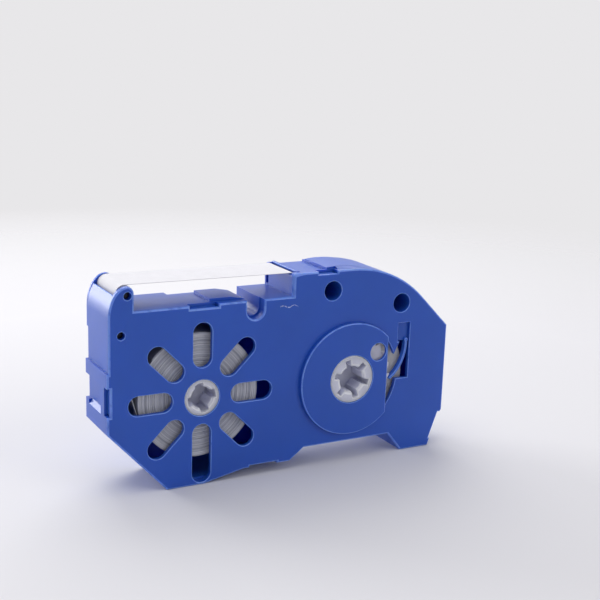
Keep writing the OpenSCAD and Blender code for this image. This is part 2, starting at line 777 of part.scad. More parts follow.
// Used tape wound on the take-up reel
module takeup_tape_pack() {
    color("#c4c4c8") in_frame()
        ring(takeup_x, 0, takeup_pack_r, takeup_drum_r + press_gap, tape_front, tape_back);
}

// A roller on its pin
module roller(x, z, r) {
    ring(-x, z, r, pin_r + running_gap, roller_front, roller_back);
}

// A pin between the cover and the rear wall
module roller_pin(x, z) {
    bar(-x, z, pin_r, pin_sink, rear_inside + pin_seat);
}

module horn_roller() {
    color("#dcdce0") in_frame() roller(horn_pin_x, horn_pin_rise, horn_roller_r);
}

module horn_roller_pin() {
    color("#202024") in_frame() roller_pin(horn_pin_x, horn_pin_rise);
}

module guide_roller() {
    color("#dcdce0") in_frame() roller(guide_pin_x, guide_pin_rise, guide_roller_r);
}

module guide_roller_pin() {
    color("#202024") in_frame() roller_pin(guide_pin_x, guide_pin_rise);
}

// What the tape runs over, in order: x, z, radius of the tape's middle, turn (-1 is clockwise)
GUIDES = [
    [0, 0, supply_pack_r + pack_gap + tape_t / 2, -1],
    [-guide_pin_x, guide_pin_rise, guide_roller_r + tape_gap + tape_t / 2, -1],
    [-horn_pin_x, horn_pin_rise, horn_roller_r + tape_gap + tape_t / 2, -1],
    [rib_x, rib_z, rib_r + tape_gap + tape_t / 2, -1],
    [bore_one_x, bore_one_rise, post_r + tape_gap + tape_t / 2, 1],
    [takeup_x, 0, takeup_pack_r + pack_gap + tape_t / 2, -1]
];

// Heading of the straight run from guide i to the next one
function heading(i) = let (
        a = GUIDES[i],
        b = GUIDES[i + 1],
        x = b[0] - a[0],
        z = b[1] - a[1]
    )
    atan2(z, x) - asin((b[3] * b[2] - a[3] * a[2]) / norm([x, z]));

// Points of the tape around guide i for a run of headings, moved sideways by side
function bend(i, from, to, n, side) = let (g = GUIDES[i]) [
    for (k = [0:n])
        let (h = from + (to - from) * k / n, r = side - g[3] * g[2])
        [g[0] - r * sin(h), g[1] + r * cos(h)]
];

function reversed(points) = [for (i = [len(points) - 1:-1:0]) points[i]];

// The two sides of a stretch of tape, joined to one outline
function strip(left, right) = concat(left, reversed(right));

// One side of the tape from the supply reel to the horn roller
function feed_side(side) = concat(
    bend(0, heading(0) + 12, heading(0), 3, side),
    bend(1, heading(0), heading(1), 3, side),
    bend(2, heading(1), heading(2), 12, side)
);

// One side of the tape over the cleaning gap
function span_side(side) = concat(
    bend(2, heading(2), heading(2), 1, side),
    bend(3, heading(2), heading(2), 1, side)
);

// One side of the tape from the slit to the take-up reel
function return_side(side) = concat(
    bend(3, heading(2), heading(3), 6, side),
    bend(4, heading(3), heading(4), 6, side),
    bend(5, heading(4), heading(4) - 12, 3, side)
);

// A stretch of tape with its full width
module tape(left, right) {
    color("#ececf0") in_frame() slab(tape_front, tape_back) polygon(strip(left, right));
}

module tape_feed_run() {
    tape(feed_side(tape_t / 2), feed_side(-tape_t / 2));
}

module tape_cleaning_span() {
    tape(span_side(tape_t / 2), span_side(-tape_t / 2));
}

module tape_return_run() {
    tape(return_side(tape_t / 2), return_side(-tape_t / 2));
}

front_cover();
rear_case();
ratchet_pawl();
supply_hub();
supply_tape_pack();
supply_friction_washer();
takeup_hub();
takeup_flange();
ratchet_wheel();
takeup_tape_pack();
horn_roller();
horn_roller_pin();
guide_roller();
guide_roller_pin();
tape_feed_run();
tape_cleaning_span();
tape_return_run();
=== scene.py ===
"""Looks of a fibre optic cleaning cassette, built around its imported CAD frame.

The case halves, reels and rollers start from copies of the CAD nodes, whose edges are rounded as
moulded ones are. The wound tape and the loose runs of tape are modelled here as the thin cloth
that they are. Lengths are in metres, in the frame of the CAD part: x along the case, y from the
front cover to the rear wall, z up from the floor.
"""

import logging
import math
from dataclasses import dataclass, field
from enum import Enum
from typing import Any, Callable, Iterable

import bmesh
import bpy
from mathutils import Matrix, Vector

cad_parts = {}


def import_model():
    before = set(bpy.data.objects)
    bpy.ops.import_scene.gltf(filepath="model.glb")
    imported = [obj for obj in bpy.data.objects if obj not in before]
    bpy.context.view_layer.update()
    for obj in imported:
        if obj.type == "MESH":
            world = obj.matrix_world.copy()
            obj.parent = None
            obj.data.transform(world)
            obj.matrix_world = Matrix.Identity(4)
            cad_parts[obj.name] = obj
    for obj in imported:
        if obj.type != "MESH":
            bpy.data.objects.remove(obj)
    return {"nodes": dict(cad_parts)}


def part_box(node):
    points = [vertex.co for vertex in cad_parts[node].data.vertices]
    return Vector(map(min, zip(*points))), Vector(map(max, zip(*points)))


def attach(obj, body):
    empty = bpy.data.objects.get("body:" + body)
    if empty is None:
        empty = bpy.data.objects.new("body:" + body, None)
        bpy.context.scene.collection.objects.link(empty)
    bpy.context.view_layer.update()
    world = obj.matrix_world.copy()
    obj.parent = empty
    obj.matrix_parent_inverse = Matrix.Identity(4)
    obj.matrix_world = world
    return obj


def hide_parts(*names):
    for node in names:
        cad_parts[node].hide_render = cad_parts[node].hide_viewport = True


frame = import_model()

LOG = logging.getLogger("cassette")
MM = 0.001
SAME_POINT, SHORT_EDGE = 0.002 * MM, 0.055 * MM
FLAT_BEND, SAME_PLANE = math.radians(0.2), math.radians(0.5)
SMOOTH_BEND, SHARP_BEND = math.radians(30.0), math.radians(38.0)
FACES_AN_AXIS = 0.995  # share of a normal from which a face is square to an axis
MANY_CORNERS = 6
SAME_LENGTH_MM = 0.03
Spot = tuple[float, float]
Point = tuple[float, float, float]
Colour = tuple[float, float, float, float]
Rule = Callable[[Vector, Vector], float]  # width of an edge's round by its ends, all in mm


def linear(*shares: int) -> Colour:
    """Turns a screen colour into the shader's linear colour, by the sRGB curve.

    Args:
        shares: Its red, green and blue, each from 0 to 255.

    Returns:
        The linear colour with full alpha.
    """
    low = [share / 255 for share in shares]
    made = [s / 12.92 if s <= 0.04045 else ((s + 0.055) / 1.055) ** 2.4 for s in low]
    return (*made, 1.0)


def dimmed(colour: Colour, share: float) -> Colour:
    """Darkens a linear colour to a share of its brightness."""
    return (colour[0] * share, colour[1] * share, colour[2] * share, 1.0)


class Tone(Enum):
    """Colours of the cassette's materials, as they look under plain light, apart from the painted
    edge highlights and the pawl's painted lighter blue.
    """

    CASE = linear(32, 84, 187)
    # painted highlight colour for the rounded edges of the blue plastic
    CASE_RIM = linear(122, 160, 240)
    # painted light: the case's blue made lighter for the pawl, whose slanting root catches light
    PAWL = linear(46, 104, 208)
    HUB = linear(212, 214, 233)
    # painted highlight colour for the rounded edges of the white plastic
    HUB_RIM = linear(236, 238, 248)
    FLANGE = linear(200, 200, 216)
    TAPE = linear(226, 225, 230)
    WOUND_DARK = linear(166, 169, 181)
    WOUND_LIGHT = linear(228, 229, 234)
    FELT = linear(150, 150, 152)
    STEEL = linear(52, 52, 58)
    PAPER = linear(222, 221, 224)
    BACKDROP = linear(232, 231, 233)
    AIR = linear(250, 250, 255)
    SCRATCH = linear(196, 208, 236)


class Wire:
    """A number socket of a node tree that can be used in Python expressions."""

    def __init__(self, tree: "NodeTree", socket: bpy.types.NodeSocket) -> None:
        """Keeps the tree and the output socket."""
        self.tree = tree
        self.socket = socket

    def _math(self, operation: str, first: Any, second: Any = None) -> "Wire":
        """Adds a Math node.

        Args:
            operation: Name of the Math node's operation.
            first: First operand, a Wire or a number.
            second: Second operand, if the operation has one.

        Returns:
            The node's result.
        """
        values = {0: first} if second is None else {0: first, 1: second}
        return self.tree.node("ShaderNodeMath", {"operation": operation}, values)

    def __add__(self, other: Any) -> "Wire":
        """Sum."""
        return self._math("ADD", self, other)

    __radd__ = __add__

    def __sub__(self, other: Any) -> "Wire":
        """Difference."""
        return self._math("SUBTRACT", self, other)

    def __rsub__(self, other: Any) -> "Wire":
        """Difference from a number."""
        return self._math("SUBTRACT", other, self)

    def __mul__(self, other: Any) -> "Wire":
        """Product."""
        return self._math("MULTIPLY", self, other)

    __rmul__ = __mul__

    def below(self, other: Any) -> "Wire":
        """One where this is less than the other."""
        return self._math("LESS_THAN", self, other)

    def most(self, other: Any) -> "Wire":
        """The greater of the two."""
        return self._math("MAXIMUM", self, other)

    def sine(self) -> "Wire":
        """Sine."""
        return self._math("SINE", self)

    def size(self) -> "Wire":
        """Absolute value."""
        return self._math("ABSOLUTE", self)

    def root(self) -> "Wire":
        """Square root."""
        return self._math("SQRT", self)

    def ramp(self, low: float, high: float) -> "Wire":
        """Rises from nought at low to one at high, clamped.

        Args:
            low: Value that gives nought.
            high: Value that gives one.

        Returns:
            The clamped share.
        """
        return self.tree.node(
            "ShaderNodeMapRange",
            {"clamp": True},
            {"Value": self, "From Min": low, "From Max": high},
        )

    def spread(self) -> "Wire":
        """Stretches noise, which keeps near one half, over nought to one."""
        return self.ramp(0.3, 0.7)


class NodeTree:
    """Node tree of a material or of the world."""

    def __init__(self, tree: bpy.types.NodeTree, output: str) -> None:
        """Empties a tree and gives it its output node.

        Args:
            tree: The tree.
            output: Type name of the output node.
        """
        self.nodes, self.links = tree.nodes, tree.links
        self.nodes.clear()
        self.surface = self.nodes.new(output).inputs["Surface"]

    def feed(self, socket: bpy.types.NodeSocket, value: Any) -> None:
        """Links a wire to an input, or sets the input's value.

        Args:
            socket: The input.
            value: A wire, or the value.
        """
        if isinstance(value, Wire):
            self.links.new(value.socket, socket)
        else:
            socket.default_value = value

    def node(
        self,
        kind: str,
        settings: dict[str, Any] | None = None,
        values: dict[Any, Any] | None = None,
        out: Any = 0,
    ) -> Wire:
        """Adds a node.

        Args:
            kind: The node's type name.
            settings: Properties of the node, set first.
            values: Values or wires of its input sockets, by name or number.
            out: Name or number of the output that is wanted.

        Returns:
            The wanted output as a wire.
        """
        made = self.nodes.new(kind)
        for key, value in (settings or {}).items():
            setattr(made, key, value)
        for key, value in (values or {}).items():
            self.feed(made.inputs[key], value)
        return Wire(self, made.outputs[out])


class FinishTree(NodeTree):
    """Node tree of one material, with its Principled shader."""

    MIX_FIRST, MIX_SECOND, MIX_RESULT = 6, 7, 2  # colour sockets of a Mix node
    WEAR_MM, WEAR_LOW, WEAR_HIGH = 1.6, 0.1, 0.5  # grain and reach of the noise that breaks up the painted highlight on rounded edges

    def __init__(self, name: str) -> None:
        """Makes a material with a Principled shader.

        Args:
            name: Name of the material.
        """
        self.material = bpy.data.materials.new(name)
        self.material.use_nodes = True
        super().__init__(self.material.node_tree, "ShaderNodeOutputMaterial")
        self.shader = self.nodes.new("ShaderNodeBsdfPrincipled")
        self.painted = Wire(self, self.shader.outputs["BSDF"])
        self.feed(self.surface, self.painted)

    def place(self) -> Wire:
        """Object coordinates of the piece, in metres."""
        return self.node("ShaderNodeTexCoord", out="Object")

    def split(self, vector: Wire) -> tuple[Wire, Wire, Wire]:
        """Splits a vector into its three numbers.

        Args:
            vector: The vector's wire.

        Returns:
            The three numbers' wires.
        """
        first = self.node("ShaderNodeSeparateXYZ", values={0: vector})
        return tuple(Wire(self, part) for part in first.socket.node.outputs)

    def axes(self) -> tuple[Wire, Wire, Wire]:
        """The three object coordinates in millimetres."""
        return tuple(part * (1 / MM) for part in self.split(self.place()))

    def noise(self, size_mm: float, detail: float = 2.0, rough: float = 0.5) -> Wire:
        """Noise of one grain size.

        Args:
            size_mm: Rough size of a grain in millimetres.
            detail: Octaves of finer noise.
            rough: Share of the finer octaves.

        Returns:
            Noise from nought to one.
        """
        return self.node(
            "ShaderNodeTexNoise",
            {"noise_dimensions": "3D"},
            {
                "Vector": self.place(),
                "Scale": 1 / (size_mm * MM),
                "Detail": detail,
                "Roughness": rough,
            },
        )

    def rings(self, along: Wire, detail: float) -> Wire:
        """Noise that changes along one direction only.

        Args:
            along: Place along that direction, with about one grain to a unit.
            detail: Octaves of finer noise.

        Returns:
            Noise from nought to one.
        """
        return self.node(
            "ShaderNodeTexNoise",
            {"noise_dimensions": "1D"},
            {"W": along, "Scale": 1.0, "Detail": detail},
        )

    def blend(self, share: Any, first: Any, second: Any) -> Wire:
        """Mixes two colours.

        Args:
            share: Share of the second colour.
            first: First colour, a wire or a colour.
            second: Second colour, a wire or a colour.

        Returns:
            The mixed colour.
        """
        values = {0: share, self.MIX_FIRST: first, self.MIX_SECOND: second}
        return self.node("ShaderNodeMix", {"data_type": "RGBA"}, values, self.MIX_RESULT)

    def rounds(self) -> Wire:
        """Share of rounded edge, marked on the mesh, broken up unevenly along its length; the
        finishes paint a highlight there.
        """
        marked = self.node("ShaderNodeAttribute", {"attribute_name": "rim"}, out="Fac")
        return marked * self.noise(self.WEAR_MM).ramp(self.WEAR_LOW, self.WEAR_HIGH)

    def bump(self, height: Wire, distance_mm: float) -> Wire:
        """Turns a height of nought to one into a normal.

        Args:
            height: Height wire.
            distance_mm: Real height of one, in millimetres.

        Returns:
            The bumped normal.
        """
        return self.node(
            "ShaderNodeBump", {}, {"Strength": 1.0, "Distance": distance_mm * MM, "Height": height}
        )

    def finish(self, base: Wire, rough: Wire, normal: Wire, constants: dict[str, Any]) -> None:
        """Sets the shader's sockets.

        Args:
            base: Colour over the surface.
            rough: Roughness over the surface.
            normal: Normal over the surface.
            constants: Values of other sockets, the same all over the surface.
        """
        varied = {"Base Color": base, "Roughness": rough, "Normal": normal}
        for key, value in {**constants, **varied}.items():
            self.feed(self.shader.inputs[key], value)

    def fade(self, share: Wire) -> None:
        """Lets the surface turn clear.

        Args:
            share: How clear it is, from nought to one.
        """
        clear = self.node("ShaderNodeBsdfTransparent")
        mixed = self.node("ShaderNodeMixShader", values={0: share, 1: self.painted, 2: clear})
        self.feed(self.surface, mixed)


@dataclass(frozen=True)
class Finish:
    """A surface: its name, its main colour and how it is painted."""

    name: str
    colour: Colour

    def material(self) -> bpy.types.Material:
        """Makes the material and paints it.

        Returns:
            The material.
        """
        tree = FinishTree(self.name)
        self.paint(tree)
        return tree.material

    def paint(self, tree: FinishTree) -> None:
        """Sets the shader's sockets.

        Args:
            tree: The material's tree.
        """
        raise NotImplementedError


@dataclass(frozen=True)
class Scratch:
    """A short pale scratch on the front cover, below its step, with its sizes in millimetres."""

    colour: Colour = Tone.SCRATCH.value
    opacity: float = 0.8
    dullness: float = 0.2
    middle_x: float = -0.6
    height_z: float = 43.55
    half_length: float = 2.5
    before_y: float = -7.3
    half_width: Spot = (0.05, 0.16)
    sway: float = 0.22
    sway_rate: float = 2.1
    jitter: float = 1.1
    jitter_grain: float = 1.3
    gap_grain: float = 0.5
    gap_span: Spot = (0.38, 0.5)

    def share(self, tree: FinishTree) -> Wire:
        """Draws the scratch.

        Args:
            tree: The material's tree.

        Returns:
            Share of the scratch at each point.
        """
        x, y, z = tree.axes()
        swayed = z - self.height_z - (x * self.sway_rate).sine() * self.sway
        line = (swayed - (tree.noise(self.jitter_grain) - 0.5) * self.jitter).size()
        inside = (x - self.middle_x).size().below(self.half_length) * y.below(self.before_y)
        broken = tree.noise(self.gap_grain, 1.0).ramp(*self.gap_span)
        return (1 - line.ramp(*self.half_width)) * inside * broken


@dataclass(frozen=True)
class MouldedPlastic(Finish):
    """Satin injection-moulded plastic with fine grain and a painted highlight on its rounded
    edges.
    """

    edge_highlight_colour: Colour = Tone.CASE_RIM.value
    scratch: Scratch | None = None
    roughness: float = 0.37
    grain_swing: float = 0.12
    cloud_swing: float = 0.08
    edge_shine: float = 0.08
    cloud_mm: float = 14.0
    cloud_dim: float = 0.9
    grain_mm: float = 0.16
    grain_height_mm: float = 0.004
    edge_highlight_share: float = 0.7
    refraction: float = 1.46
    scatter: float = 0.3
    scatter_reach: Point = (0.1, 0.22, 1.0)
    scatter_mm: float = 2.5

    def paint(self, tree: FinishTree) -> None:
        """Sets the shader's sockets.

        Args:
            tree: The material's tree.
        """
        cloud = tree.noise(self.cloud_mm, 3.0)
        grain = tree.noise(self.grain_mm, 1.0)
        rim = tree.rounds()
        base = tree.blend(cloud.spread(), dimmed(self.colour, self.cloud_dim), self.colour)
        # painted highlight: rounded edges are mixed towards a lighter colour
        base = tree.blend(rim * self.edge_highlight_share, base, self.edge_highlight_colour)
        rough = self.roughness + (grain - 0.5) * self.grain_swing
        rough = rough + (cloud - 0.5) * self.cloud_swing - rim * self.edge_shine
        if self.scratch:
            mark = self.scratch.share(tree)
            base = tree.blend(mark * self.scratch.opacity, base, self.scratch.colour)
            rough = rough + mark * self.scratch.dullness
        tree.finish(base, rough, tree.bump(grain, self.grain_height_mm), {
            "IOR": self.refraction,
            "Subsurface Weight": self.scatter,
            "Subsurface Radius": self.scatter_reach,
            "Subsurface Scale": self.scatter_mm * MM,
        })


@dataclass(frozen=True)
class NaturalPlastic(MouldedPlastic):
    """Unpigmented white plastic of hubs, flange and rollers, with a painted highlight on its
    rounded edges.
    """

    edge_highlight_colour: Colour = Tone.HUB_RIM.value
    roughness: float = 0.4
    grain_swing: float = 0.15
    cloud_swing: float = 0.0
    edge_shine: float = 0.0
    cloud_mm: float = 4.0
    cloud_dim: float = 0.88
    grain_mm: float = 0.2
    edge_highlight_share: float = 0.8
    refraction: float = 1.5
    scatter: float = 1.0
    scatter_reach: Point = (1.0, 1.0, 1.1)
    scatter_mm: float = 4.0


@dataclass(frozen=True)
class WoundTape(Finish):
    """Edges of wound cloth: rings of slightly different grey round the reel's axis."""

    axis_mm: Spot
    dark: Colour = Tone.WOUND_DARK.value
    turn_mm: float = 0.25
    broad_per_mm: float = 0.9
    tone_span: Spot = (0.34, 0.62)
    ridge_mm: float = 0.06

    def paint(self, tree: FinishTree) -> None:
        """Sets the shader's sockets.

        Args:
            tree: The material's tree.
        """
        x, _, z = tree.axes()
        across, up = x - self.axis_mm[0], z - self.axis_mm[1]
        reach = (across * across + up * up).root()
        fine = tree.rings(reach * (1 / self.turn_mm), 1.0)
        broad = tree.rings(reach * self.broad_per_mm, 2.0)
        fuzz = tree.noise(0.12)
        share = fine * 0.5 + broad * 0.4 + fuzz * 0.1
        base = tree.blend(share.ramp(*self.tone_span), self.dark, self.colour)
        normal = tree.bump(fine * 0.7 + fuzz * 0.3, self.ridge_mm)
        tree.finish(base, 0.82 + fuzz * 0.12, normal, {"Specular IOR Level": 0.25})


@dataclass(frozen=True)
class WovenTape(Finish):
    """Very fine white woven polyester."""

    thread_mm: float = 0.14
    thread_height_mm: float = 0.012
    cloud_mm: float = 3.0
    cloud_dim: float = 0.93

    def paint(self, tree: FinishTree) -> None:
        """Sets the shader's sockets.

        Args:
            tree: The material's tree.
        """
        along, across, _ = tree.split(tree.node("ShaderNodeUVMap", {"uv_map": "tape"}))
        turns = math.tau / (self.thread_mm * MM)
        weave = (along * turns).sine() * (across * turns).sine() * 0.5 + 0.5
        share = tree.noise(self.cloud_mm, 3.0).spread() * 0.6 + weave * 0.4
        base = tree.blend(share, dimmed(self.colour, self.cloud_dim), self.colour)
        normal = tree.bump(weave, self.thread_height_mm)
        constants = {"Specular IOR Level": 0.3, "Sheen Weight": 0.15, "Sheen Roughness": 0.5}
        tree.finish(base, 0.72 + weave * 0.12, normal, constants)


@dataclass(frozen=True)
class Felt(Finish):
    """Pressed grey felt."""

    fibre_mm: float = 0.18
    fibre_dim: float = 0.6
    fibre_height_mm: float = 0.05

    def paint(self, tree: FinishTree) -> None:
        """Sets the shader's sockets.

        Args:
            tree: The material's tree.
        """
        fibre = tree.noise(self.fibre_mm, 5.0, 0.75)
        base = tree.blend(fibre.spread(), dimmed(self.colour, self.fibre_dim), self.colour)
        normal = tree.bump(fibre, self.fibre_height_mm)
        tree.finish(base, 0.88 + fibre * 0.1, normal, {"Specular IOR Level": 0.15})


@dataclass(frozen=True)
class GroundSteel(Finish):
    """Drawn steel wire with fine rings from grinding."""

    rings_per_mm: float = 14.0
    ring_dim: float = 0.75
    ring_height_mm: float = 0.003

    def paint(self, tree: FinishTree) -> None:
        """Sets the shader's sockets.

        Args:
            tree: The material's tree.
        """
        ring = tree.rings(tree.axes()[1] * self.rings_per_mm, 2.0)
        base = tree.blend(ring, dimmed(self.colour, self.ring_dim), self.colour)
        normal = tree.bump(ring, self.ring_height_mm)
        tree.finish(base, 0.28 + ring * 0.18, normal, {"Metallic": 1.0})


@dataclass(frozen=True)
class PaperFloor(Finish):
    """Seamless pale studio paper."""

    near_mm: float = 170.0
    far_mm: float = 420.0
    cloud_mm: float = 260.0
    cloud_dim: float = 0.97
    grain_mm: float = 1.2
    grain_height_mm: float = 0.02

    def paint(self, tree: FinishTree) -> None:
        """Sets the shader's sockets, and lets the paper fade away far from the cassette.

        Args:
            tree: The material's tree.
        """
        cloud = tree.noise(self.cloud_mm)
        grain = tree.noise(self.grain_mm)
        base = tree.blend(cloud, dimmed(self.colour, self.cloud_dim), self.colour)
        normal = tree.bump(grain, self.grain_height_mm)
        tree.finish(base, 0.75 + grain * 0.1, normal, {"Specular IOR Level": 0.2})
        x, y, _ = tree.axes()
        away = (x * x + y * y).root().ramp(self.near_mm, self.far_mm)
        tree.fade(away)


def select(piece: bpy.types.Object) -> None:
    """Selects one piece only and makes it active.

    Args:
        piece: The piece.
    """
    bpy.ops.object.select_all(action="DESELECT")
    piece.select_set(True)
    bpy.context.view_layer.objects.active = piece


def smooth(piece: bpy.types.Object) -> None:
    """Shades a piece smoothly over its slight bends, with its flats kept flat.

    Args:
        piece: The piece.
    """
    select(piece)
    bpy.ops.object.shade_smooth_by_angle(angle=SMOOTH_BEND)
    flatter = piece.modifiers.new("flat flats", "WEIGHTED_NORMAL")
    flatter.keep_sharp = True
    bpy.ops.object.modifier_apply(modifier=flatter.name)


def piece_from(work: bmesh.types.BMesh, name: str) -> bpy.types.Object:
    """Makes a smoothly shaded piece at the origin.

    Args:
        work: Its closed mesh, which is used up.
        name: Name of the piece.

    Returns:
        The piece.
    """
    bmesh.ops.recalc_face_normals(work, faces=work.faces)
    mesh = bpy.data.meshes.new(name)
    work.to_mesh(mesh)
    work.free()
    piece = bpy.data.objects.new(name, mesh)
    bpy.context.scene.collection.objects.link(piece)
    smooth(piece)
    return piece


def dress(
    piece: bpy.types.Object,
    material: bpy.types.Material,
    body: str,
    replaced: Iterable[str] = (),
) -> None:
    """Gives a piece its material, body and the CAD nodes that it stands for.

    Args:
        piece: The finished piece.
        material: Its material.
        body: CAD body that it rides on.
        replaced: CAD nodes that it stands for.
    """
    piece.data.materials.clear()
    piece.data.materials.append(material)
    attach(piece, body)
    if replaced:
        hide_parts(*replaced)
    LOG.info("%s: %d faces on %s", piece.name, len(piece.data.polygons), body)


@dataclass
class Moulding:
    """A piece that is its CAD node with moulded edges, rounded by up to 1 mm."""

    node: str
    name: str
    body: str
    slot: str
    width: Rule
    segments: int = 2
    piece: bpy.types.Object = field(init=False)

    def build(self, material: bpy.types.Material) -> bpy.types.Object:
        """Copies the node, rounds the copy and dresses it.

        Args:
            material: Its material.

        Returns:
            The piece, at the origin.
        """
        self.piece = bpy.data.objects.new(self.name, frame["nodes"][self.node].data.copy())
        bpy.context.scene.collection.objects.link(self.piece)
        self.piece.data.name = self.name
        select(self.piece)
        self.join_faces()
        self.mark_edges()
        self.round_edges()
        self.refill()
        smooth(self.piece)
        dress(self.piece, material, self.body, [self.node])
        return self.piece

    def join_faces(self) -> None:
        """Joins the triangles of each flat face."""
        if self.piece.data.has_custom_normals:
            bpy.ops.mesh.customdata_custom_splitnormals_clear()
        bpy.ops.object.mode_set(mode="EDIT")
        bpy.ops.mesh.select_all(action="SELECT")
        bpy.ops.mesh.remove_doubles(threshold=SAME_POINT)
        bpy.ops.mesh.dissolve_limited(angle_limit=SAME_PLANE, use_dissolve_boundaries=False)
        bpy.ops.object.mode_set(mode="OBJECT")

    def mark_edges(self) -> None:
        """Writes the width of each round into the mesh as the edge's bevel weight."""
        work = bmesh.new()
        work.from_mesh(self.piece.data)
        bmesh.ops.remove_doubles(work, verts=work.verts, dist=SHORT_EDGE)
        weights = work.edges.layers.float
        layer = weights.get("bevel_weight_edge") or weights.new("bevel_weight_edge")
        for edge in work.edges:
            if len(edge.link_faces) == 2 and edge.calc_face_angle_signed(0.0) >= SHARP_BEND:
                first, second = (v.co / MM for v in edge.verts)
                edge[layer] = float(self.width(first, second))
        work.to_mesh(self.piece.data)
        work.free()

    def round_edges(self) -> None:
        """Rounds the marked edges, and gives the rounds the second material."""
        self.piece.data.materials.clear()
        for _ in ("flats", "rounds"):
            self.piece.data.materials.append(None)
        select(self.piece)
        rounder = self.piece.modifiers.new("rounded edges", "BEVEL")
        rounder.material = 1
        rounder.limit_method = "WEIGHT"
        rounder.width = MM
        rounder.segments = self.segments
        rounder.use_clamp_overlap = False
        rounder.loop_slide = False
        rounder.miter_outer = "MITER_SHARP"
        bpy.ops.object.modifier_apply(modifier=rounder.name)

    def refill(self) -> None:
        """Fills every flat area anew between its outlines, since rounding can cross old seams.

        The rounds are marked in the attribute "rim", which the finishes read to paint a highlight
        on them.
        """
        work = bmesh.new()
        work.from_mesh(self.piece.data)
        rounds = work.faces.layers.float.new("rim")
        for face in work.faces:
            tilted = max(abs(share) for share in face.normal) < FACES_AN_AXIS
            face[rounds] = float(face.material_index if tilted else 0)
            face.material_index = 0
        left = set(work.faces)
        while left:
            area = self.flat_area(left)
            if max(len(face.verts) for face in area) >= MANY_CORNERS:
                self.fill(work, area)
        work.to_mesh(self.piece.data)
        work.free()

    @staticmethod
    def flat_area(left: set[bmesh.types.BMFace]) -> set[bmesh.types.BMFace]:
        """Takes one face and all that lie flat with it out of a set.

        Args:
            left: Faces that belong to no area yet.

        Returns:
            The faces of the area.
        """
        start = left.pop()
        area, reach = {start}, [start]
        while reach:
            for edge in reach.pop().edges:
                for face in edge.link_faces:
                    if face in left and edge.calc_face_angle(1.0) < FLAT_BEND:
                        left.discard(face)
                        area.add(face)
                        reach.append(face)
        return area

    @staticmethod
    def fill(work: bmesh.types.BMesh, area: set[bmesh.types.BMFace]) -> None:
        """Replaces the faces of a flat area by triangles between its outlines.

        Args:
            work: The mesh that is worked on.
            area: The area's faces.
        """
        normal = max(area, key=lambda face: face.calc_area()).normal.copy()
        rim, seams = [], []
        for edge in {edge for face in area for edge in face.edges}:
            inside = all(face in area for face in edge.link_faces)
            (seams if inside else rim).append(edge)
        bmesh.ops.delete(work, geom=list(area), context="FACES_ONLY")
        bmesh.ops.delete(work, geom=seams, context="EDGES")
        filled = bmesh.ops.triangle_fill(work, use_beauty=True, edges=rim, normal=normal)
        for face in filled["geom"]:
            if isinstance(face, bmesh.types.BMFace) and face.normal.dot(normal) < 0.0:
                face.normal_flip()


def near(value: float, target: float) -> bool:
    """Whether two lengths in millimetres agree."""
    return abs(value - target) < SAME_LENGTH_MM


def before(limit: float, width: float) -> Rule:
    """Rule that rounds every edge square to the depth and before a limit of y, in mm."""
    return lambda first, second: width * (near(first.y, second.y) and first.y < limit)


def place_of(node: str) -> Spot:
    """Middle of a CAD node's box along the case and in height, in millimetres."""
    low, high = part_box(node)
    return (low[0] + high[0]) / 2 / MM, (low[2] + high[2]) / 2 / MM


def radius_of(node: str) -> float:
    """Radius in millimetres of a CAD node that is round along the depth."""
    low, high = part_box(node)
    return (high[2] - low[2]) / 2 / MM


@dataclass(frozen=True)
class Zone:
    """A part of the front face, in millimetres, where edges belong to the case's outline."""

    left: float = -math.inf
    right: float = math.inf
    bottom: float = -math.inf
    top: float = math.inf

    def holds(self, x: float, z: float) -> bool:
        """Whether a place lies inside."""
        return self.left < x < self.right and self.bottom < z < self.top


@dataclass(frozen=True)
class PadRamp:
    """Slope from the cover's round top to the thumb pad's, cut from a slightly tapered cone."""

    cover_place: Spot = (17.95, 21.3)
    pad_x: float = 14.95
    cover_radius: float = 30.37
    pad_radius: float = 30.99
    front_y: float = -7.0
    back_y: float = -4.7
    left_x: float = 13.75
    right_x: float = 24.75
    bottom_z: float = 50.2
    sides: int = 360

    def build(self) -> bpy.types.Object:
        """Makes the slope: a cone whose front ring is moved over, with three flat cuts.

        Returns:
            The piece.
        """
        middle_y = (self.front_y + self.back_y) / 2
        bpy.ops.object.select_all(action="DESELECT")
        bpy.ops.mesh.primitive_cone_add(
            vertices=self.sides, depth=(self.back_y - self.front_y) * MM,
            radius1=self.pad_radius * MM, radius2=self.cover_radius * MM,
            location=(self.pad_x * MM, middle_y * MM, self.cover_place[1] * MM),
            rotation=(math.pi / 2, 0.0, 0.0),
        )
        bpy.ops.object.transform_apply(location=True, rotation=True, scale=True)
        piece = bpy.context.object
        piece.name = piece.data.name = "pad_ramp"
        bpy.ops.object.mode_set(mode="EDIT")
        bpy.ops.mesh.select_all(action="DESELECT")
        bpy.ops.object.mode_set(mode="OBJECT")
        for vertex in piece.data.vertices:
            vertex.select = vertex.co.y < middle_y * MM
        bpy.ops.object.mode_set(mode="EDIT")
        bpy.ops.transform.translate(value=((self.cover_place[0] - self.pad_x) * MM, 0.0, 0.0))
        for at, along, low_side in (
            ((self.left_x * MM, 0.0, 0.0), (1.0, 0.0, 0.0), True),
            ((self.right_x * MM, 0.0, 0.0), (1.0, 0.0, 0.0), False),
            ((0.0, 0.0, self.bottom_z * MM), (0.0, 0.0, 1.0), True),
        ):
            bpy.ops.mesh.select_all(action="SELECT")
            bpy.ops.mesh.bisect(
                plane_co=at, plane_no=along, use_fill=True,
                clear_inner=low_side, clear_outer=not low_side,
            )
        bpy.ops.object.mode_set(mode="OBJECT")
        smooth(piece)
        return piece


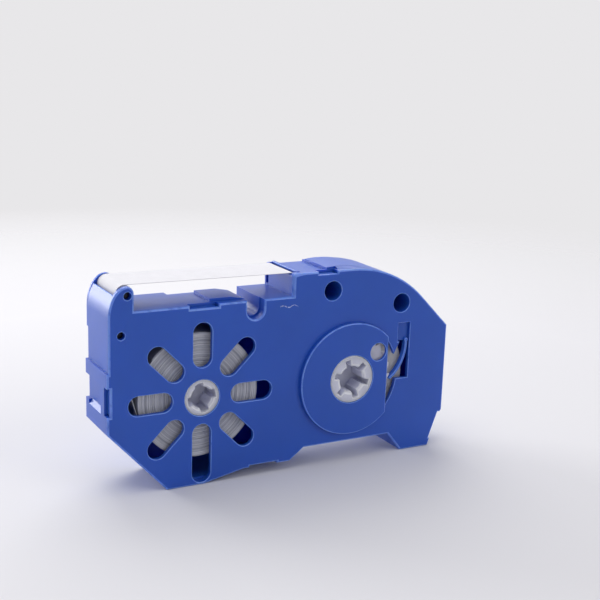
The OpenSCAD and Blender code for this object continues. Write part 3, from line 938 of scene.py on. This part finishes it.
@dataclass
class Case:
    """Front cover, rear case and the pawl, all of blue plastic."""

    front_y: float = -7.5
    cup_y: float = -8.7
    rear_y: float = 8.7
    outline_round: float = 0.45
    block_round: float = 0.8
    cup_round: float = 0.3
    pawl_round: float = 0.22
    pawl_before: float = -7.0
    hole_round: float = 0.2
    top_round: float = 0.1
    cup_place: Spot = (17.95, 22.6)
    cup_inside: float = 9.0
    sight_hole: Spot = (25.75, 29.15)
    sight_reach: float = 2.7
    horn_bore: Spot = (-43.05, 49.7)
    horn_reach: float = 1.2
    arc_place: Spot = (17.95, 21.3)
    arc_inside: float = 29.9
    block_corner: Zone = Zone(left=-1.0, right=2.0, bottom=45.2)
    arc_zone: Zone = Zone(left=12.0, bottom=20.0)
    outline: tuple[Zone, ...] = (
        Zone(right=-47.0),  # left end
        Zone(right=-46.0, top=17.0),
        Zone(left=46.0),  # right end, apart from the clip window beside it
        Zone(left=45.5, top=40.0),
        Zone(left=45.5, bottom=45.0),
        Zone(right=-33.0, top=5.6),  # feet
        Zone(left=-12.6, top=5.6),
        Zone(left=-12.35, right=-7.35, bottom=40.8),  # notch
        Zone(right=0.9, bottom=45.0),  # shelf and block
        Zone(bottom=50.9),  # top
    )
    floor_start: Spot = (-23.05, 0.6)
    floor_slope: float = 0.21
    slant_start: Spot = (-48.15, 16.6)
    slant_slope: float = -0.755
    slant_end: float = -32.0
    top_from: float = 47.0
    hooks_left: float = 8.0
    hooks_right: float = 16.0
    least_depth: float = 0.5

    def front_round(self, first: Vector, second: Vector) -> float:
        """Rule for the cover: wide at the outline and the block, narrow at holes.

        Args:
            first: One end of the edge, in millimetres.
            second: The other end.

        Returns:
            The width in millimetres.
        """
        x, z = (first.x + second.x) / 2, (first.z + second.z) / 2
        if near(first.y, self.cup_y) and near(second.y, self.cup_y):
            outside = math.dist((x, z), self.cup_place) > self.cup_inside
            sight = math.dist((x, z), self.sight_hole) < self.sight_reach
            return self.cup_round if outside and not sight else self.hole_round
        if not (near(first.y, self.front_y) and near(second.y, self.front_y)):
            return 0.0
        if self.block_corner.holds(x, z):
            return self.block_round
        if math.dist((x, z), self.horn_bore) < self.horn_reach:
            return self.hole_round
        return self.outline_round if self.is_outline(x, z) else self.hole_round

    def is_outline(self, x: float, z: float) -> bool:
        """Whether a front edge belongs to the case's outline and not to a hole in the face.

        Args:
            x: Place of the edge's middle along the case, in millimetres.
            z: Its height.

        Returns:
            True for the outline.
        """
        floor = self.floor_start[1] + self.floor_slope * max(0.0, x - self.floor_start[0])
        slant = self.slant_start[1] + self.slant_slope * (x - self.slant_start[0])
        beyond_arc = math.dist((x, z), self.arc_place) > self.arc_inside
        return (
            z < floor
            or (z < slant and x < self.slant_end)
            or (beyond_arc and self.arc_zone.holds(x, z))
            or any(zone.holds(x, z) for zone in self.outline)
        )

    def rear_round(self, first: Vector, second: Vector) -> float:
        """Rule for the rear case: only at the rear outline, the horn and the top.

        Args:
            first: One end of the edge, in millimetres.
            second: The other end.

        Returns:
            The width in millimetres.
        """
        if near(first.y, self.rear_y) and near(second.y, self.rear_y):
            return self.outline_round
        hook = self.hooks_left < (first.x + second.x) / 2 < self.hooks_right
        if hook or min(first.z, second.z) < self.top_from:
            return 0.0
        crosswise = abs(first.y - second.y) > self.least_depth
        return self.top_round if crosswise or max(first.x, second.x) < 0.0 else 0.0

    def build(self) -> None:
        """Builds and dresses the shells and the pawl."""
        cover, plain, pawl = (
            MouldedPlastic(name, blue.value, scratch=scratch).material()
            for name, blue, scratch in (
                ("blue_plastic_cover", Tone.CASE, Scratch()),
                ("blue_plastic", Tone.CASE, None),
                # the pawl gets a lighter copy of the case's blue, as painted light
                ("blue_plastic_pawl_painted_lighter", Tone.PAWL, None),
            )
        )
        Moulding("front_cover", "cover", "case", "cover_plastic", self.front_round, 3).build(cover)
        Moulding("rear_case", "tub", "case", "case_plastic", self.rear_round).build(plain)
        dress(PadRamp().build(), plain, "case")
        rule = before(self.pawl_before, self.pawl_round)
        Moulding("ratchet_pawl", "pawl_leaf", "pawl", "pawl_plastic", rule).build(pawl)


@dataclass(frozen=True)
class Pack:
    """Tape wound on the reel of one side, with its sizes in millimetres."""

    side: str
    axis_x: float
    inner: float
    outer: float


@dataclass
class Reels:
    """The two reels with their hubs, flange, ratchet wheel and wound tape."""

    axis_z: float = 22.6
    tape_front: float = -5.25
    tape_back: float = 7.45
    front_play: float = 0.2
    back_play: float = 0.02
    turn: float = 0.25
    thick_share: float = 0.72
    steps_a_turn: int = 72
    slow_wave: float = 0.11
    quick_wave: float = 0.09
    front_half: float = -5.0
    packs: tuple[Pack, ...] = (
        Pack("supply", -23.95, 6.02, 16.05),
        Pack("takeup", 17.95, 8.02, 14.3),
    )

    def build(self) -> None:
        """Builds and dresses both reels."""
        white = NaturalPlastic("natural_hub", Tone.HUB.value).material()
        thin = NaturalPlastic("natural_flange", Tone.FLANGE.value, roughness=0.35).material()
        for node, name, body, slot, finish, width in (
            ("supply_hub", "supply_core", "supply_reel", "supply_hub_plastic", white, 0.18),
            ("takeup_hub", "takeup_core", "takeup_reel", "takeup_hub_plastic", white, 0.3),
            ("takeup_flange", "takeup_disc", "takeup_reel", "flange_plastic", thin, 0.08),
            ("ratchet_wheel", "ratchet_teeth", "takeup_reel", "ratchet_plastic", thin, 0.08),
        ):
            Moulding(node, name, body, slot, before(self.front_half, width)).build(finish)
        for pack in self.packs:
            self.wind(pack)

    def unevenness(self, turn: float) -> float:
        """How far a turn stands out at the front, in millimetres: a slow wave and a quick one."""
        slow = self.slow_wave * math.sin(turn * 2.4) * math.sin(turn * 0.9 + 1.0)
        return slow + self.quick_wave * math.sin(turn * 5.3 + 0.6)

    def wind(self, pack: Pack) -> None:
        """Winds a pack as one spiral strip, turn on turn, and dresses it.

        Args:
            pack: The pack.
        """
        thick = self.turn * self.thick_share
        back = self.tape_back - self.back_play
        count = int((pack.outer - pack.inner - thick) / self.turn * self.steps_a_turn)
        work = bmesh.new()
        rows = []
        for i in range(count + 1):
            turn = i / self.steps_a_turn
            radius = pack.inner + self.turn * turn
            front = self.tape_front + self.front_play - self.unevenness(turn)
            rows.append([
                work.verts.new((
                    (pack.axis_x + r * math.cos(turn * math.tau)) * MM,
                    y * MM,
                    (self.axis_z + r * math.sin(turn * math.tau)) * MM,
                ))
                for r, y in (
                    (radius, front),
                    (radius + thick, front),
                    (radius + thick, back),
                    (radius, back),
                )
            ])
        for a, b in zip(rows, rows[1:]):
            for k in range(4):
                work.faces.new((a[k], a[(k + 1) % 4], b[(k + 1) % 4], b[k]))
        work.faces.new(rows[0][::-1])
        work.faces.new(rows[-1])
        name, axis = f"{pack.side}_wound_tape", (pack.axis_x, self.axis_z)
        piece = piece_from(work, name)
        finish = WoundTape(f"{name}_edges", Tone.WOUND_LIGHT.value, axis)
        dress(piece, finish.material(), f"{pack.side}_reel",
              [f"{pack.side}_tape_pack"])


@dataclass
class Rollers:
    """Horn roller and guide roller on their pins, and the felt brake washer."""

    edge_round: float = 0.1
    washer_hole_r: float = 2.5

    def build(self) -> None:
        """Builds and dresses the rollers, pins and washer."""
        white = NaturalPlastic("natural_roller", Tone.HUB.value, roughness=0.35).material()
        wire = GroundSteel("pin_wire", Tone.STEEL.value).material()
        felt = Felt("brake_felt", Tone.FELT.value).material()
        rule = before(math.inf, self.edge_round)
        for node, name, body, slot, finish in (
            ("horn_roller", "horn_roll", "horn_roller", "roller_plastic", white),
            ("guide_roller", "guide_roll", "guide_roller", "roller_plastic", white),
            ("horn_roller_pin", "horn_pin", "case", "pin_steel", wire),
            ("guide_roller_pin", "guide_pin", "case", "pin_steel", wire),
            ("supply_friction_washer", "felt_washer", "case", "felt", felt),
        ):
            piece = Moulding(node, name, body, slot, rule).build(finish)
        # The last piece is the washer.
        across = 2 * radius_of("supply_friction_washer") * MM
        ring = math.pi * (across**2 - (2 * self.washer_hole_r * MM) ** 2) / 4


@dataclass(frozen=True)
class Guide:
    """A round thing that the tape runs over: its middle, radius and turn (-1 is clockwise)."""

    x: float
    z: float
    radius: float
    turn: int


@dataclass
class TapeRuns:
    """The three loose stretches of tape, as thin woven strips on one line."""

    finish: WovenTape = WovenTape("woven_tape", Tone.TAPE.value)
    thick: float = 0.12
    gap: float = 0.1
    wound_gap: float = 0.15
    rib_radius: float = 0.6
    rib_place: Spot = (0.95, 50.8)
    post_radius: float = 3.42
    post_place: Spot = (11.95, 46.45)
    wrap: float = 12.0
    bend_steps: tuple[int, ...] = (6, 6, 24, 12, 10, 6)
    longest_step: float = 1.5
    same_place: float = 1e-4
    guides: list[Guide] = field(init=False)

    def __post_init__(self) -> None:
        """Works out the guides from the frame, in the order in which the tape meets them."""
        rounds = [
            (place_of(node), radius_of(node), gap, -1)
            for node, gap in (
                ("supply_tape_pack", self.wound_gap),
                ("guide_roller", self.gap),
                ("horn_roller", self.gap),
                ("takeup_tape_pack", self.wound_gap),
            )
        ]
        rounds.insert(3, (self.rib_place, self.rib_radius, self.gap, -1))
        rounds.insert(4, (self.post_place, self.post_radius, self.gap, 1))
        self.guides = [
            Guide(*place, radius + gap + self.thick / 2, turn)
            for place, radius, gap, turn in rounds
        ]

    def heading(self, i: int) -> float:
        """Works out which way the tape runs from one guide to the next.

        Args:
            i: Number of the guide that it leaves.

        Returns:
            The heading of the straight run, in degrees.
        """
        a, b = self.guides[i], self.guides[i + 1]
        x, z = b.x - a.x, b.z - a.z
        lean = math.asin((b.turn * b.radius - a.turn * a.radius) / math.hypot(x, z))
        return math.degrees(math.atan2(z, x) - lean)

    def bend(self, i: int, start: float, end: float) -> list[Spot]:
        """Runs the tape's middle round a guide.

        Args:
            i: Number of the guide.
            start: Heading at which the tape arrives, in degrees.
            end: Heading at which it leaves.

        Returns:
            Points of the bend.
        """
        guide, steps = self.guides[i], self.bend_steps[i]
        reach = -guide.turn * guide.radius
        angles = [math.radians(start + (end - start) * k / steps) for k in range(steps + 1)]
        return [(guide.x - reach * math.sin(a), guide.z + reach * math.cos(a)) for a in angles]

    def lines(self) -> dict[str, list[Spot]]:
        """Works out the middle lines of the three stretches.

        Returns:
            The points of each line, by the CAD node that it stands for.
        """
        heads = [self.heading(i) for i in range(5)]
        feed = self.bend(0, heads[0] + self.wrap, heads[0]) + self.bend(1, heads[0], heads[1])
        feed += self.bend(2, heads[1], heads[2])
        span = [self.bend(2, heads[2], heads[2])[0], self.bend(3, heads[2], heads[2])[0]]
        back = self.bend(3, heads[2], heads[3]) + self.bend(4, heads[3], heads[4])
        back += self.bend(5, heads[4], heads[4] - self.wrap)
        names = ("tape_feed_run", "tape_cleaning_span", "tape_return_run")
        return {name: self.finer(line) for name, line in zip(names, (feed, span, back))}

    def finer(self, points: list[Spot]) -> list[Spot]:
        """Adds points along the long straight runs.

        Args:
            points: A line.

        Returns:
            The same line with no step longer than the longest.
        """
        made = [points[0]]
        for end in points[1:]:
            start = made[-1]
            length = math.dist(start, end)
            if length < self.same_place:
                continue
            count = max(1, math.ceil(length / self.longest_step))
            for k in range(1, count + 1):
                share = k / count
                made.append((start[0] + (end[0] - start[0]) * share,
                             start[1] + (end[1] - start[1]) * share))
        return made

    def build(self) -> None:
        """Builds and dresses the three stretches."""
        cloth = self.finish.material()
        for (node, line), (name, slot, under) in zip(self.lines().items(), (
            ("feed_tape", "feed_tape", ["supply_wound_tape", "guide_roll", "horn_roll"]),
            ("cleaning_tape", "cleaning_tape", ["horn_roll", "tub"]),
            ("return_tape", "return_tape", ["tub", "takeup_wound_tape"]),
        )):
            piece, length = self.strip(name, node, line)
            dress(piece, cloth, "case", [node])

    def strip(self, name: str, node: str, line: list[Spot]) -> tuple[bpy.types.Object, float]:
        """Makes a thin strip along a line, with its length and width as UVs in metres.

        Args:
            name: Name of the piece.
            node: CAD node whose width it has.
            line: Points of its middle, in millimetres.

        Returns:
            The strip and its length in metres.
        """
        low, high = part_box(node)
        front, back = low[1] / MM, high[1] / MM
        work = bmesh.new()
        layer = work.loops.layers.uv.new("tape")
        along = [0.0]
        for a, b in zip(line, line[1:]):
            along.append(along[-1] + math.dist(a, b))
        rows = []
        for i, (x, z) in enumerate(line):
            last, following = line[max(i - 1, 0)], line[min(i + 1, len(line) - 1)]
            run = (Vector(following) - Vector(last)).normalized()
            side = Vector((-run.y, run.x)) * self.thick / 2
            rows.append([
                work.verts.new(((x + k * side.x) * MM, y * MM, (z + k * side.y) * MM))
                for k, y in ((1, front), (1, back), (-1, back), (-1, front))
            ])
        for i in range(len(rows) - 1):
            for k in range(4):
                n = (k + 1) % 4
                face = work.faces.new((rows[i][k], rows[i][n], rows[i + 1][n], rows[i + 1][k]))
                for loop in face.loops:
                    at = along[i] if loop.vert in rows[i] else along[i + 1]
                    loop[layer].uv = (at * MM, loop.vert.co.y + loop.vert.co.z * (k % 2))
        for row, at in ((rows[0][::-1], along[0]), (rows[-1], along[-1])):
            for loop in work.faces.new(row).loops:
                loop[layer].uv = (at * MM + loop.vert.co.z, loop.vert.co.y)
        return piece_from(work, name), along[-1] * MM


@dataclass(frozen=True)
class SoftBox:
    """A square soft light: where it stands, what it points at, its side and its watts."""

    name: str
    place: Point
    target: Point
    size: float
    power: float

    def build(self) -> None:
        """Adds the light, unseen by the camera."""
        data = bpy.data.lights.new(self.name, "AREA")
        data.shape, data.size, data.energy = "SQUARE", self.size, self.power
        lamp = bpy.data.objects.new(self.name, data)
        bpy.context.scene.collection.objects.link(lamp)
        lamp.location = self.place
        aim = Vector(self.target) - Vector(self.place)
        lamp.rotation_euler = aim.to_track_quat("-Z", "Y").to_euler()
        lamp.visible_camera = False


@dataclass
class Studio:
    """Floor that fades into a pale backdrop, soft lights and the photograph's camera."""

    paper: PaperFloor = PaperFloor("studio_paper", Tone.PAPER.value)
    lamps: tuple[SoftBox, ...] = (
        SoftBox("back_box", (0.15, 0.5, 0.6), (0.0, 0.0, 0.02), 0.6, 3.1),
        SoftBox("left_box", (-0.45, 0.75, 0.2), (-0.03, 0.0, 0.03), 0.5, 6.0),
        SoftBox("top_box", (-0.15, -0.05, 0.85), (0.0, 0.0, 0.03), 0.7, 2.2),
        SoftBox("front_box", (0.45, -0.7, 0.5), (0.0, 0.0, 0.03), 0.5, 1.6),
    )
    air: float = 0.4
    floor_size: float = 6.0
    floor_middle: Point = (0.0, 1.0, 0.0)
    camera_place_mm: Point = (-131.37, -249.87, 111.85)
    azimuth: float = -28.883
    elevation: float = 13.589
    roll: float = 1.919
    focal_px: float = 1138.0
    image_px: float = 600.0
    sensor_mm: float = 36.0
    clip: Spot = (0.01, 20.0)

    def build(self) -> None:
        """Builds the floor, the lights and the camera."""
        self._floor()
        for lamp in self.lamps:
            lamp.build()
        self._world()
        self._camera()

    def _floor(self) -> None:
        """Lays a level floor of pale paper."""
        bpy.ops.object.select_all(action="DESELECT")
        bpy.ops.mesh.primitive_plane_add(size=self.floor_size, location=self.floor_middle)
        floor = bpy.context.active_object
        floor.name = "floor"
        floor.data.materials.append(self.paper.material())
        bpy.ops.object.transform_apply(location=True, rotation=True, scale=True)

    def _world(self) -> None:
        """Adds even air light, and the pale backdrop that the camera and glossy faces see."""
        world = bpy.data.worlds.new("studio_air")
        world.use_nodes = True
        tree = NodeTree(world.node_tree, "ShaderNodeOutputWorld")
        air = {"Color": Tone.AIR.value, "Strength": self.air}
        light = tree.node("ShaderNodeBackground", values=air)
        shown = tree.node("ShaderNodeBackground", values={"Color": Tone.BACKDROP.value})
        seen = tree.node("ShaderNodeLightPath", out="Is Camera Ray")
        for ray in ("Is Glossy Ray", "Is Transmission Ray"):
            seen = seen.most(tree.node("ShaderNodeLightPath", out=ray))
        mixed = tree.node("ShaderNodeMixShader", values={0: seen, 1: light, 2: shown})
        tree.feed(tree.surface, mixed)
        bpy.context.scene.world = world

    def _camera(self) -> None:
        """Places the camera as the photograph's."""
        a, e, r = (math.radians(v) for v in (self.azimuth, self.elevation, self.roll))
        back = Vector((math.sin(a) * math.cos(e), -math.cos(a) * math.cos(e), math.sin(e)))
        side = Vector((0, 0, 1)).cross(back).normalized()
        up = back.cross(side)
        right = side * math.cos(r) + up * math.sin(r)
        up = back.cross(right)
        turn = Matrix((right, up, back)).transposed()
        data = bpy.data.cameras.new("photo_camera")
        data.sensor_width = self.sensor_mm
        data.lens = self.focal_px / self.image_px * self.sensor_mm
        data.clip_start, data.clip_end = self.clip
        camera = bpy.data.objects.new("photo_camera", data)
        bpy.context.scene.collection.objects.link(camera)
        place = Vector(self.camera_place_mm) * MM
        camera.matrix_world = Matrix.Translation(place) @ turn.to_4x4()
        bpy.context.scene.camera = camera


def main() -> None:
    """Builds the cassette's looks and the studio, piece by piece."""
    logging.basicConfig(level=logging.INFO, format="%(name)s: %(message)s")
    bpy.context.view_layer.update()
    bpy.context.scene.view_settings.view_transform = "Standard"
    Studio().build()
    for part in (Case(), Reels(), Rollers(), TapeRuns()):
        LOG.info("building %s", type(part).__name__)
        part.build()


if __name__ == "__main__":
    main()
